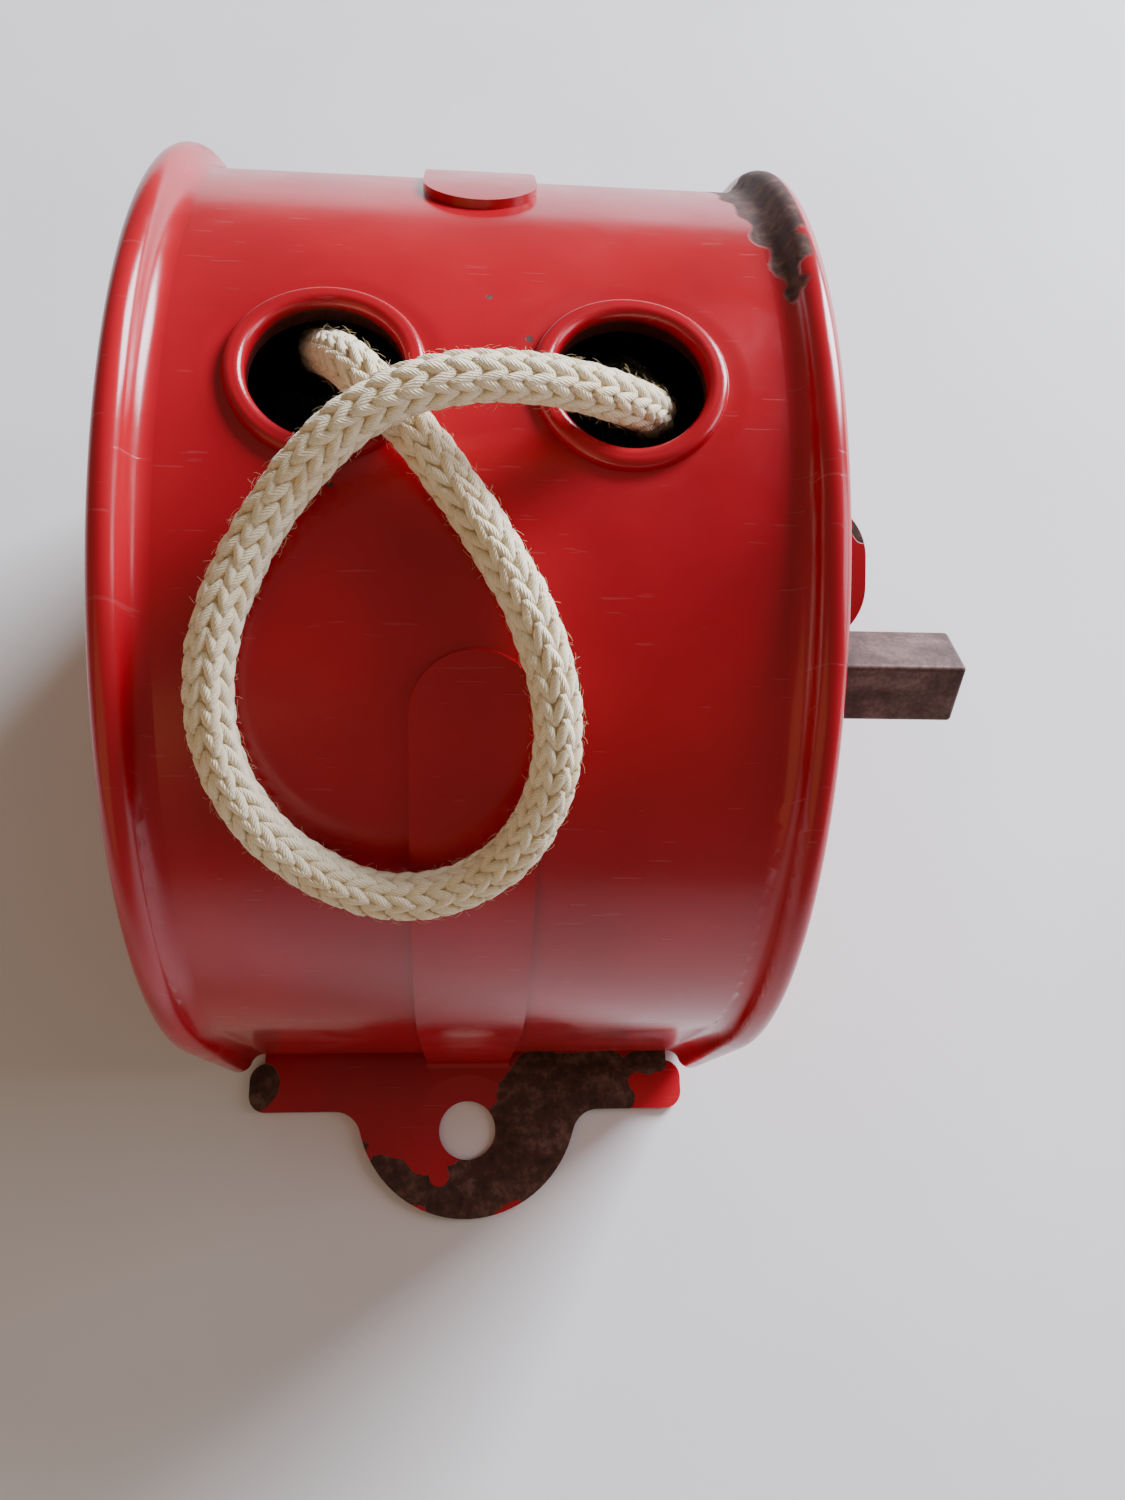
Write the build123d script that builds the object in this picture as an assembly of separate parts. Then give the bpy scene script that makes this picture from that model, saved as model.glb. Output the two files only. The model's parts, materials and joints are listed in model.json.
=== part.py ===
from build123d import *
import math
import os

# Clothesline reel: a D-shaped sheet-steel drum on two screw feet, holding a ratcheted spool.
# Millimetres. +X runs along the spool axle towards the crank, +Y runs from the lower foot to
# the upper foot, +Z points out of the wall. The origin is midway between the two screw holes,
# on the wall face.

# ---- housing -------------------------------------------------------------------------------
RIM_X = 36.3            # half the width over the rolled rims
R_WALL = 57.3           # outer radius of the rounded front
SHEET = 1.2             # wall thickness
FRONT_Z = 41.2          # height of the front's arc centre above the wall face
RIM_H = 2.70            # how far the rolled rims stand out of the drum
BACK_CORNER_R = 5.6     # outer radius of the two back corners
FLARE_R = 2.4           # concave flare that leads up to the bead
FLARE_DEG = 70.0
BEAD_R = 1.7
CAP_X = 29.8            # outer face of the end caps
CAP_T = 1.2

# ---- line outlets --------------------------------------------------------------------------
OUTLET_X = 15.0
OUTLET_R = 7.75
LIP_R = 9.9
LIP_H = 1.1
BARREL_R = 8.6

# ---- mounting feet -------------------------------------------------------------------------
FOOT_T = 1.0
TONGUE_W = 13.0
TONGUE_END_DEG = 34.0   # centre of the tongue's round end, from the front
FOOT_WING_X = 34.0
FOOT_NEAR_Y = 58.2
FOOT_FAR_Y = 65.6
SKIRT_X = 31.8          # the foot runs in under the drum between the rims
SKIRT_Y = 49.0
TAB_Y = 64.4
TAB_R = 17.2
SCREW_Y = 68.6
SCREW_R = 4.4
SINK_R = 8.4
SINK_DEEP = 0.55

# ---- spool and axle ------------------------------------------------------------------------
AXLE_Z = 50.0
AXLE_R = 4.0
SPOOL_X = 26.4          # outer face of the outer flanges
FLANGE_R = 43.0
FLANGE_T = 1.2
CORE_R = 13.0
WIND_R = 26.0
RUN_GAP = 0.05          # radial running clearance

# ---- ratchet and pawl ----------------------------------------------------------------------
TEETH = 12
TOOTH_TIP_R = 20.0
TOOTH_ROOT_R = 17.8
TOOTH_RAKE_DEG = 1.6    # the steep face leans back, so the nose can lift out
TOOTH_PLAY_DEG = 1.6    # the wheel's play before the nose locks it
WHEEL_X = (31.0, 33.0)
PAWL_X = (31.2, 32.8)
PAWL_PIVOT = (-4.0, 84.0)
PIVOT_R = 2.0
NOSE_DEG = 62.0         # where the nose meets the wheel, about the axle, from +Y to +Z
THUMB_R = (52.3, 53.9)  # thumb tab, about the front's arc centre
THUMB_DEG = (10.8, 26.8)
THUMB_X = 39.3

# ---- crank ---------------------------------------------------------------------------------
ARM_X = (36.0, 38.0)
GRIP_AT = (-24.0, 81.0)
GRIP_SIDE = 7.1
GRIP_TURN = -13.0       # which way an edge of the square grip points, from +Z
GRIP_X = (38.15, 51.6)
PIN_R = 1.5

# ---- line ----------------------------------------------------------------------------------
CORD_D = 4.8


def cyl_x(r, x0, x1, y=0.0, z=AXLE_Z):
    """A cylinder along X."""
    disc = Plane(origin=(x0, y, z), x_dir=(0, 1, 0), z_dir=(1, 0, 0)) * Circle(r)
    return extrude(disc, x1 - x0)


def cyl_z(r, z0, z1, x=0.0, y=0.0):
    return extrude(Pos(x, y, z0) * Circle(r), z1 - z0)


def ring_x(r_out, r_in, x0, x1, y=0.0, z=AXLE_Z):
    return cyl_x(r_out, x0, x1, y, z) - cyl_x(r_in, x0 - 1, x1 + 1, y, z)


def plate_x(face, x0, x1):
    """A flat outline drawn in Y and Z, made into a plate across X."""
    return extrude(Plane(origin=(x0, 0, 0), x_dir=(0, 1, 0), z_dir=(1, 0, 0)) * face, x1 - x0)


def polar(r, deg, y0=0.0, z0=0.0):
    return (y0 + r * math.cos(math.radians(deg)), z0 + r * math.sin(math.radians(deg)))


def d_prism(grow, x0, x1):
    """The drum's D outline, grown outward from its outer surface, across X."""
    r, c = R_WALL + grow, BACK_CORNER_R + grow
    zb = RIM_H - grow
    k = c * (1 - math.sqrt(0.5))
    edges = [
        ThreePointArc((r, FRONT_Z), (0, FRONT_Z + r), (-r, FRONT_Z)),
        Line((-r, FRONT_Z), (-r, zb + c)),
        ThreePointArc((-r, zb + c), (-r + k, zb + k), (-r + c, zb)),
        Line((-r + c, zb), (r - c, zb)),
        ThreePointArc((r - c, zb), (r - k, zb + k), (r, zb + c)),
        Line((r, zb + c), (r, FRONT_Z)),
    ]
    return plate_x(make_face(edges), x0, x1)


# ---- housing -------------------------------------------------------------------------------
def wall_section():
    """Sheet from rim to rim: flat, flared, then rolled into a bead. X across, Y outward."""
    a = math.radians(FLARE_DEG)
    x_flare = RIM_X - (FLARE_R * math.sin(a) + BEAD_R * math.sin(a) + BEAD_R)
    lift = FLARE_R * (1 - math.cos(a))
    cx, cy = x_flare + (FLARE_R + BEAD_R) * math.sin(a), lift - BEAD_R * math.cos(a)
    mid = (x_flare + FLARE_R * math.sin(a / 2), FLARE_R * (1 - math.cos(a / 2)))
    end = (x_flare + FLARE_R * math.sin(a), lift)
    low = polar(BEAD_R, -100, cx, cy)
    half = [
        Line((0, 0), (x_flare, 0)),
        ThreePointArc((x_flare, 0), mid, end),
        ThreePointArc(end, (cx + BEAD_R * math.cos(0.6), cy + BEAD_R * math.sin(0.6)), low),
        Line(low, (x_flare + 2.6, -SHEET)),
        Line((x_flare + 2.6, -SHEET), (0, -SHEET)),
        Line((0, -SHEET), (0, 0)),
    ]
    face = make_face(half)
    return face + mirror(face, Plane.YZ)


def drum_wall():
    section = wall_section()
    side = Plane(origin=(0, R_WALL, FRONT_Z), x_dir=(1, 0, 0), z_dir=(0, 0, 1)) * section
    z_corner = RIM_H + BACK_CORNER_R
    y_corner = R_WALL - BACK_CORNER_R
    front = revolve(side, Axis((0, 0, FRONT_Z), (1, 0, 0)), 180)
    cheek = extrude(side, amount=FRONT_Z - z_corner, dir=(0, 0, -1))
    low = Plane(origin=(0, R_WALL, z_corner), x_dir=(1, 0, 0), z_dir=(0, 0, 1)) * section
    corner = revolve(low, Axis((0, y_corner, z_corner), (1, 0, 0)), -90)
    flat = Plane(origin=(0, y_corner, RIM_H), x_dir=(1, 0, 0), z_dir=(0, 1, 0)) * section
    back = extrude(flat, amount=2 * y_corner, dir=(0, -1, 0))
    half = cheek + corner
    wall = front + half + mirror(half, Plane.XZ) + back
    for x in (-OUTLET_X, OUTLET_X):
        wall -= cyl_z(BARREL_R, FRONT_Z, FRONT_Z + 2 * R_WALL, x)
    return wall


def front_shell(r0, r1):
    return ring_x(r1, r0, -RIM_X, RIM_X, 0.0, FRONT_Z)


def eyelet(x):
    """A rounded lip outside, a barrel through the sheet and a rolled flange inside."""
    def ring(r, r0, r1):
        tube = cyl_z(r, FRONT_Z, FRONT_Z + 2 * R_WALL, x)
        return tube & front_shell(r0, r1)
    inner = R_WALL - SHEET
    body = ring(LIP_R, R_WALL, R_WALL + LIP_H) + ring(BARREL_R, inner, R_WALL)
    body += ring(BARREL_R + 0.9, inner - 0.8, inner)
    body -= cyl_z(OUTLET_R, FRONT_Z, FRONT_Z + 2 * R_WALL, x)
    top = [e for e in body.edges() if e.center().Z > FRONT_Z + R_WALL + 0.4]
    return fillet(top, 0.85)


def end_cap(side):
    """A pressed cup: flat panel with a turned-out flange that sits inside the drum."""
    cup = d_prism(-SHEET, CAP_X - CAP_T, CAP_X + 2.4)
    cup -= d_prism(-SHEET - 1.0, CAP_X, CAP_X + 3)
    inner = cup.edges().filter_by_position(Axis.X, CAP_X - 0.01, CAP_X + 0.01)
    cup = fillet(inner, 0.8)
    cup -= cyl_x(5.0, CAP_X - 3, CAP_X + 3)
    if side > 0:
        cup -= cyl_x(PIVOT_R, CAP_X - 3, CAP_X + 3, *PAWL_PIVOT)
        for y, z in (SPRING_POST, STOP_PIN):
            cup -= cyl_x(1.2, CAP_X - 3, CAP_X + 3, y, z)
    return cup if side > 0 else mirror(cup, Plane.YZ)


def bearing_bush(side):
    bush = cyl_x(7.5, 27.1, CAP_X - CAP_T) + cyl_x(5.0, CAP_X - CAP_T, 30.4)
    bush -= cyl_x(AXLE_R + RUN_GAP, 26, 32)
    bush = chamfer(bush.edges().filter_by_position(Axis.X, 30.39, 30.41), 0.25)
    return bush if side > 0 else mirror(bush, Plane.YZ)


def tongue():
    """The strap that runs down the front and bends out into the foot."""
    r0, r1 = R_WALL, R_WALL + FOOT_T
    end = math.radians(TONGUE_END_DEG)
    at_end = Plane(origin=(0, 0, FRONT_Z), x_dir=(1, 0, 0), z_dir=(0, -math.sin(end), math.cos(end)))
    shell = front_shell(r0, r1)
    tip = extrude(at_end * Circle(TONGUE_W / 2), r1 + 5) & shell
    below = at_end * Pos(0, -r1 / 2, 0) * Rectangle(TONGUE_W, r1)
    run = extrude(below, r1 + 5) & shell & (Pos(0, 0, FRONT_Z + r1) * Box(99, 4 * r1, 2 * r1))
    bend_r = FOOT_T
    yc, zc = -r1 - bend_r, FOOT_T + bend_r
    cheek = Pos(0, -(r0 + r1) / 2, (FRONT_Z + zc) / 2) * Box(TONGUE_W, FOOT_T, FRONT_Z - zc)
    bend = ring_x(bend_r + FOOT_T, bend_r, -TONGUE_W / 2, TONGUE_W / 2, yc, zc)
    bend &= Pos(0, yc + r1 / 2, zc - r1 / 2) * Box(99, r1, r1)
    foot = Pos(0, (yc - FOOT_FAR_Y) / 2, FOOT_T / 2) * Box(TONGUE_W, FOOT_FAR_Y + yc, FOOT_T)
    return tip + run + cheek + bend + foot


def mounting_foot(side):
    mid_y = -(FOOT_NEAR_Y + FOOT_FAR_Y) / 2
    wings = Pos(0, mid_y) * RectangleRounded(2 * FOOT_WING_X, FOOT_FAR_Y - FOOT_NEAR_Y, 2.6)
    blank = wings + Pos(0, -TAB_Y) * Circle(TAB_R)
    blank -= Pos(0, 20 - FOOT_NEAR_Y) * Rectangle(99, 40)
    necks = [v for v in blank.vertices() if abs(v.Y + FOOT_FAR_Y) < 0.01 and 10 < abs(v.X) < 20]
    blank = fillet(necks, 4.2)
    blank += Pos(0, -(SKIRT_Y + FOOT_NEAR_Y + 1) / 2) * Rectangle(2 * SKIRT_X, FOOT_NEAR_Y + 1 - SKIRT_Y)
    foot = extrude(blank, FOOT_T) + tongue()
    foot -= cyl_z(SCREW_R, -1, 5, 0, -SCREW_Y)
    foot -= Pos(0, -SCREW_Y, FOOT_T - SINK_DEEP / 2) * Cone(SCREW_R, SINK_R, SINK_DEEP)
    return foot if side < 0 else mirror(foot, Plane.XZ)


def pawl_pivot_rivet():
    y, z = PAWL_PIVOT
    rivet = cyl_x(3.5, 27.4, CAP_X - CAP_T, y, z) + cyl_x(PIVOT_R, 28, 33.2, y, z)
    rivet += cyl_x(3.5, CAP_X, PAWL_X[0] - 0.1, y, z) + cyl_x(3.6, 33.0, 34.2, y, z)
    head = rivet.edges().filter_by_position(Axis.X, 34.19, 34.21)
    return fillet(head, 0.8)


def post(y, z, x1):
    """A small shouldered post riveted through the right cap."""
    body = cyl_x(1.2, CAP_X - CAP_T, CAP_X, y, z) + cyl_x(1.5, CAP_X, x1, y, z)
    body += cyl_x(2.2, 27.9, CAP_X - CAP_T, y, z)
    return chamfer(body.edges().filter_by_position(Axis.X, x1 - 0.01, x1 + 0.01), 0.3)


# ---- ratchet and pawl ----------------------------------------------------------------------
def ratchet_wheel():
    """Saw teeth whose steep faces lead when the line pulls the spool round."""
    points = []
    for k in range(TEETH):
        root = NOSE_DEG - TOOTH_PLAY_DEG + k * 360 / TEETH
        tip = root - TOOTH_RAKE_DEG
        points += [polar(TOOTH_TIP_R, tip, 0, AXLE_Z), polar(TOOTH_ROOT_R, root, 0, AXLE_Z)]
    wheel = plate_x(make_face(Polyline(*points, close=True)), *WHEEL_X)
    wheel += cyl_x(6.5, 30.5, ARM_X[0])
    for k in range(4):
        y, z = polar(12.2, 45 + 90 * k, 0, AXLE_Z)
        wheel -= cyl_x(2.6, 30, 34, y, z)
    return wheel - cyl_x(AXLE_R, 30, 37)


def pawl_lever():
    """A rocker: a nose in the teeth one way, a thumb tab turned out over the rim the other."""
    py, pz = PAWL_PIVOT
    tip, face = polar(18.15, NOSE_DEG, 0, AXLE_Z), polar(22.6, NOSE_DEG, 0, AXLE_Z)
    heel = polar(19.6, NOSE_DEG + 13, 0, AXLE_Z)
    arm = Polyline(tip, face, (py + 3.7, pz + 2.4), (py - 3.0, pz - 2.9), heel, close=True)
    a0, a1 = (90 + d for d in THUMB_DEG)
    r0, r1 = THUMB_R
    fan = Polyline((py + 1.5, pz + 3.9), polar(r1, a0, 0, FRONT_Z), polar(r1, (a0 + a1) / 2, 0, FRONT_Z),
                   polar(r1, a1, 0, FRONT_Z), (py - 2.5, pz - 3.3), close=True)
    lever = plate_x(make_face(arm), *PAWL_X) + plate_x(make_face(fan), *PAWL_X)
    lever += cyl_x(4.2, *PAWL_X, py, pz)
    lever &= cyl_x(r1, *PAWL_X, 0, FRONT_Z)
    sector = Polyline((0, FRONT_Z), polar(70, a0, 0, FRONT_Z), polar(70, a1, 0, FRONT_Z), close=True)
    tab = ring_x(r1, r0, PAWL_X[0], THUMB_X, 0, FRONT_Z) & plate_x(make_face(sector), 30, 40)
    corners = [e for e in tab.edges() if e.center().X > THUMB_X - 0.01 and e.length < 2]
    tab = fillet(corners, 6.0)
    lever += tab
    return lever - cyl_x(PIVOT_R + RUN_GAP, 30, 34, py, pz)


SPRING_POST = (15.0, 89.0)
STOP_PIN = (-13.45, 81.15)


def pawl_spring():
    """A leaf hooked round its post, bearing on the back of the pawl's nose arm."""
    y, z = SPRING_POST
    path = Polyline((y + 1.85, z), (y + 1.7, z - 9.0), (y - 5.4, z - 16.4), (y - 3.8, z - 18.6))
    leaf = offset(path, 0.22, side=Side.BOTH)
    hook = Pos(y, z) * (Circle(2.1) - Circle(1.55))
    blade = make_face(leaf) if not isinstance(leaf, Sketch) else leaf
    return plate_x(blade, PAWL_X[0], PAWL_X[1]) + plate_x(hook, PAWL_X[0], PAWL_X[1])


# ---- spool ---------------------------------------------------------------------------------
def axle():
    rod = cyl_x(AXLE_R, -33.5, ARM_X[0])
    rod -= ring_x(AXLE_R + 1, 3.3, -31.3, -30.5)
    rod = chamfer(rod.edges().filter_by_position(Axis.X, -33.51, -33.49), 0.5)
    square = Plane(origin=(ARM_X[0], 0, AXLE_Z), x_dir=(0, 1, 0), z_dir=(1, 0, 0)) * Rectangle(5.2, 5.2)
    stud = chamfer(cyl_x(2.6, ARM_X[1], 44.0).edges().filter_by_position(Axis.X, 43.9, 44.1), 0.5)
    return rod + extrude(square, ARM_X[1] - ARM_X[0]) + stud


def spool_flange(x0):
    disc = ring_x(FLANGE_R, AXLE_R, x0, x0 + FLANGE_T)
    return fillet(disc.edges().filter_by(lambda e: e.length > 200), 0.5)


def core_and_windings():
    """The hub tube and the two packed coils of line, one each side of the middle flange."""
    x_in, x_out = FLANGE_T / 2, SPOOL_X - FLANGE_T
    hub = ring_x(CORE_R, AXLE_R, x_in, x_out)
    coil = ring_x(WIND_R, CORE_R, x_in, x_out)
    coil = fillet(coil.edges().filter_by(lambda e: e.length > 150), 1.6)
    return hub, coil


def thrust_washer(side):
    washer = ring_x(7.0, AXLE_R, SPOOL_X, 27.0)
    return washer if side > 0 else mirror(washer, Plane.YZ)


def retaining_clip():
    clip = ring_x(6.2, 3.3, -31.2, -30.6)
    slot = Pos(-30.9, 0, AXLE_Z - 5) * Box(4, 4.4, 10)
    return clip - slot


# ---- crank ---------------------------------------------------------------------------------
def crank_arm():
    gy, gz = GRIP_AT
    reach = math.hypot(gy, gz - AXLE_Z)
    away = math.degrees(math.atan2(gz - AXLE_Z, gy))
    lean = math.asin((7.0 - 4.6) / reach)
    c, s = math.cos(lean), math.sin(lean)
    web = Polyline((7 * s, 7 * c), (reach + 4.6 * s, 4.6 * c), (reach + 4.6 * s, -4.6 * c),
                   (7 * s, -7 * c), close=True)
    outline = make_face(web) + Circle(7.0) + Pos(reach, 0) * Circle(4.6)
    outline -= Rot(0, 0, -away) * Rectangle(5.2, 5.2)
    outline -= Pos(reach, 0) * Circle(PIN_R)
    arm = plate_x(Pos(0, AXLE_Z) * Rot(0, 0, away) * outline, *ARM_X)
    rims = [e for e in arm.edges() if e.length > 12 and abs(e.center().X - 37) > 0.9]
    return fillet(rims, 0.5)


def crank_nut():
    hexagon = Plane(origin=(39, 0, AXLE_Z), x_dir=(0, 1, 0), z_dir=(1, 0, 0)) * RegularPolygon(5.0, 6, major_radius=False)
    return extrude(hexagon, 3.6) - cyl_x(2.6, 38, 44)


def grip_pin():
    stem = cyl_x(PIN_R, ARM_X[0], 50.2, *GRIP_AT)
    return stem + cyl_x(2.3, 50.2, 50.95, *GRIP_AT)


def crank_grip():
    y, z = GRIP_AT
    at = Plane(origin=(GRIP_X[0], y, z), x_dir=(0, 1, 0), z_dir=(1, 0, 0))
    bar = extrude(at * Rot(0, 0, -GRIP_TURN + 45) * RectangleRounded(GRIP_SIDE, GRIP_SIDE, 0.5),
                  GRIP_X[1] - GRIP_X[0])
    ends = [e for e in bar.edges() if e.center().X > GRIP_X[1] - 0.01]
    bar = fillet(ends, 0.45)
    bar -= cyl_x(PIN_R + RUN_GAP, 38, 52, y, z)
    return bar - cyl_x(2.4, 50.05, 52, y, z)


# ---- line ----------------------------------------------------------------------------------
# The free loop: out of the left outlet, once round over the drum, across itself, and in at
# the right outlet. Both ends stop just off the coils. Each point is its place along X, its
# angle from the front towards the lower foot, and its height above the drum's surface.
LINE_ROUTE = [
    (-18.6, -49.1, -22.9), (-18.6, -40.0, -20.4), (-18.4, -31.5, -17.8), (-18.0, -22.8, -14.6),
    (-17.4, -14.0, -10.6), (-16.4, -9.0, -7.0), (-15.0, -4.4, -3.0), (-13.2, -0.4, 1.1),
    (-10.4, 3.6, 3.7), (-6.6, 7.6, 3.5), (-2.2, 12.8, 2.8), (2.2, 19.0, 2.8),
    (5.8, 25.4, 3.4), (7.8, 32.0, 4.2), (7.8, 38.4, 4.1), (5.8, 44.2, 4.1),
    (2.0, 48.8, 4.1), (-3.4, 51.6, 4.1), (-9.6, 52.0, 3.7), (-15.6, 49.8, 2.9),
    (-20.6, 45.4, 2.8), (-24.0, 39.4, 2.8), (-25.2, 32.6, 2.8), (-24.2, 25.6, 2.8),
    (-21.4, 19.2, 3.0), (-17.4, 13.8, 4.8), (-12.6, 9.6, 7.4), (-7.0, 7.0, 9.1),
    (-0.6, 5.6, 9.1), (5.8, 4.9, 7.6), (11.3, 4.5, 4.9), (15.2, 3.4, 1.2),
    (17.5, 1.4, -3.2), (18.6, -1.6, -7.8), (19.2, -6.8, -12.0), (19.4, -13.6, -15.8),
    (19.2, -22.2, -18.5), (18.8, -31.6, -20.4), (18.4, -42.0, -21.8), (18.2, -52.4, -23.4),
]


def over_drum(x, deg, height):
    y, z = polar(R_WALL + height, 90 + deg, 0, FRONT_Z)
    return Vector(x, y, z)


def cord_path(route):
    """Straight runs joined by tangent arcs, each as large as its two runs allow."""
    points = [over_drum(*p) for p in route]
    runs = [b - a for a, b in zip(points, points[1:])]
    radii = []
    for a, b in zip(runs, runs[1:]):
        turn = math.radians(a.get_angle(b))
        radii.append(0.45 * min(a.length, b.length) / math.tan(turn / 2))
    print("cord runs", [round(r.length, 1) for r in runs])
    print("cord radii", [round(r, 1) for r in radii])
    return FilletPolyline(*points, radius=radii)


def line_loop():
    path = cord_path(LINE_ROUTE)
    start = Plane(origin=path @ 0, z_dir=path % 0)
    tube = sweep(start * Circle(CORD_D / 2), path)
    section = math.pi * CORD_D ** 2 / 4
    print("cord length %.1f, volume %.1f, section x length %.1f" % (
        path.length, tube.volume, section * path.length))
    return tube


def build():
    hub, coil = core_and_windings()
    spool_half = SPOOL_X
    parts = {
        "drum_wall": drum_wall(),
        "left_end_cap": end_cap(-1),
        "right_end_cap": end_cap(1),
        "left_eyelet": eyelet(-OUTLET_X),
        "right_eyelet": eyelet(OUTLET_X),
        "lower_mounting_foot": mounting_foot(-1),
        "upper_mounting_foot": mounting_foot(1),
        "left_bearing_bush": bearing_bush(-1),
        "right_bearing_bush": bearing_bush(1),
        "pawl_pivot_rivet": pawl_pivot_rivet(),
        "pawl_spring_post": post(*SPRING_POST, 33.4),
        "pawl_stop_pin": post(*STOP_PIN, 33.2),
        "pawl_spring": pawl_spring(),
        "line_loop": line_loop(),
        "axle": axle(),
        "left_spool_core": mirror(hub, Plane.YZ),
        "right_spool_core": hub,
        "left_spool_flange": spool_flange(-spool_half),
        "centre_spool_flange": spool_flange(-FLANGE_T / 2),
        "right_spool_flange": spool_flange(spool_half - FLANGE_T),
        "left_line_winding": mirror(coil, Plane.YZ),
        "right_line_winding": coil,
        "left_thrust_washer": thrust_washer(-1),
        "right_thrust_washer": thrust_washer(1),
        "retaining_clip": retaining_clip(),
        "ratchet_wheel": ratchet_wheel(),
        "crank_arm": crank_arm(),
        "crank_washer": ring_x(6.0, 2.6, 38.0, 39.0),
        "crank_nut": crank_nut(),
        "grip_pin": grip_pin(),
        "crank_grip": crank_grip(),
        "pawl_lever": pawl_lever(),
    }
    return parts


os.makedirs("parts", exist_ok=True)
for name, shape in build().items():
    export_step(shape, "parts/" + name + ".step")
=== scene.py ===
# %% [markdown]
# # A clothesline reel
# The reel is a red enamelled steel drum that lies on its flat back. A loop of cotton line
# comes out of one lipped hole, lies over the drum and goes back in at the other. The metal
# pieces arrive ready made in one shared frame, in metres, so this lesson adds what they lack:
# the braided line, the coils inside, and a finish for every surface.

# %% Load the frame
import json
import math
import bpy
import bmesh
from mathutils import Matrix, Vector


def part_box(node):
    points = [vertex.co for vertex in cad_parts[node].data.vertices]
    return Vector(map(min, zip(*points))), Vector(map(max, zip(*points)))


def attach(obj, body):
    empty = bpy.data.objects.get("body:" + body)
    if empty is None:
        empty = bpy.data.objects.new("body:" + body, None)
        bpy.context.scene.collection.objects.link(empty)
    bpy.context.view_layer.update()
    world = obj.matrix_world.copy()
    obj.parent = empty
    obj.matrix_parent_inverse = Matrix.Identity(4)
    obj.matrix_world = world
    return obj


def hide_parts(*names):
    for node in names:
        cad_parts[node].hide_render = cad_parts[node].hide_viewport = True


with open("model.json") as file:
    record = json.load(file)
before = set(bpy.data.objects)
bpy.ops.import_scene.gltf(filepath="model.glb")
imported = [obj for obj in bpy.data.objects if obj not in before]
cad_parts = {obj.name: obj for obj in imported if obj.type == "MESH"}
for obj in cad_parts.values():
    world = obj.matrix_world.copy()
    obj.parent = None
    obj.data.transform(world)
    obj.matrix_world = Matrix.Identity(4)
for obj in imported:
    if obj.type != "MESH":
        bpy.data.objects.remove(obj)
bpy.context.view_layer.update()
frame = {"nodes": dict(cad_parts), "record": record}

MM = 0.001
bodies = frame["record"]["behaviour"]["bodies"]
print("bodies:", {name: len(nodes) for name, nodes in bodies.items()})

# %% [markdown]
# ## Where the camera stands
# The drum is seen from above and slightly from the lower foot, close up, so the near front
# looks much bigger than the feet. A 28.8 mm lens on a 36 mm sensor gives that wide angle.
# Euler angles are easy to misread, so the turn is three plain rotations multiplied together.

# %% The camera
CAMERA_AT = Vector((-0.95, -73.5, 198.6)) * MM
CAMERA_TURNS = ((19.0, "X"), (-4.62, "Y"), (0.65, "Z"))
turn = Matrix.Identity(4)
for degrees, axis in CAMERA_TURNS:
    turn = turn @ Matrix.Rotation(math.radians(degrees), 4, axis)
camera_data = bpy.data.cameras.new("camera")
camera_data.lens = 28.8
camera_data.sensor_width = 36.0
camera_data.clip_start = 5 * MM
camera = bpy.data.objects.new("camera", camera_data)
camera.matrix_world = Matrix.Translation(CAMERA_AT) @ turn
bpy.context.collection.objects.link(camera)
bpy.context.scene.camera = camera
print("camera", [round(v / MM, 1) for v in CAMERA_AT], "mm")

# %% [markdown]
# ## Colour and node helpers
# Colours are easiest to judge as the hex values of a paint card, which are sRGB, while
# shaders work in linear light, so one function converts them. Another adds a node with its
# settings and its links, so that a material reads as a list of what it is made of.


# %% Hex to linear
def tint(code):
    """An sRGB hex colour as linear values."""
    channels = [int(code[i:i + 2], 16) / 255 for i in (1, 3, 5)]
    linear = [c / 12.92 if c <= 0.04045 else ((c + 0.055) / 1.055) ** 2.4 for c in channels]
    return (*linear, 1.0)


print("a mid grey is", round(tint("#808080")[0], 3), "in linear light")


# %% One function that adds a node
def feed(tree, node, inputs):
    """Set inputs, by name or number, to values or to the outputs of other nodes."""
    for key, value in inputs.items():
        if isinstance(value, bpy.types.NodeSocket):
            tree.links.new(value, node.inputs[key])
        else:
            node.inputs[key].default_value = value


def add(tree, kind, settings=None, inputs=None, stops=()):
    """Add a node. settings are its properties, inputs go to feed, and stops are the
    (place, hex or grey) pairs of a colour ramp."""
    node = tree.nodes.new(kind)
    for key, value in (settings or {}).items():
        setattr(node, key, value)
    feed(tree, node, inputs or {})
    for place, _ in stops[2:]:
        node.color_ramp.elements.new(place)
    if stops:
        for element, (place, value) in zip(node.color_ramp.elements, stops):
            element.position = place
            element.color = tint(value) if isinstance(value, str) else (value, value, value, 1)
    return node


def material(name):
    """A new material, its tree, its shader, and the output that gives a point's place."""
    made = bpy.data.materials.new(name)
    made.use_nodes = True
    tree = made.node_tree
    shader = next(n for n in tree.nodes if n.type == "BSDF_PRINCIPLED")
    place = add(tree, "ShaderNodeTexCoord").outputs["Object"]
    return made, tree, shader, place


print("node helpers ready")

# %% [markdown]
# ## The route of the line
# The line is a solid-braid cotton cord, 4.8 mm thick. It leaves the left coil, rises through
# the left hole, rounds the drum in one teardrop loop, crosses over itself and sinks through
# the right hole to the other coil. A NURBS spline with these points as its control points
# gives one smooth, limp line, which hand-drawn Bezier handles would not. Each point is its
# place along the axle, its angle from the drum's front and its height above the drum.

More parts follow.
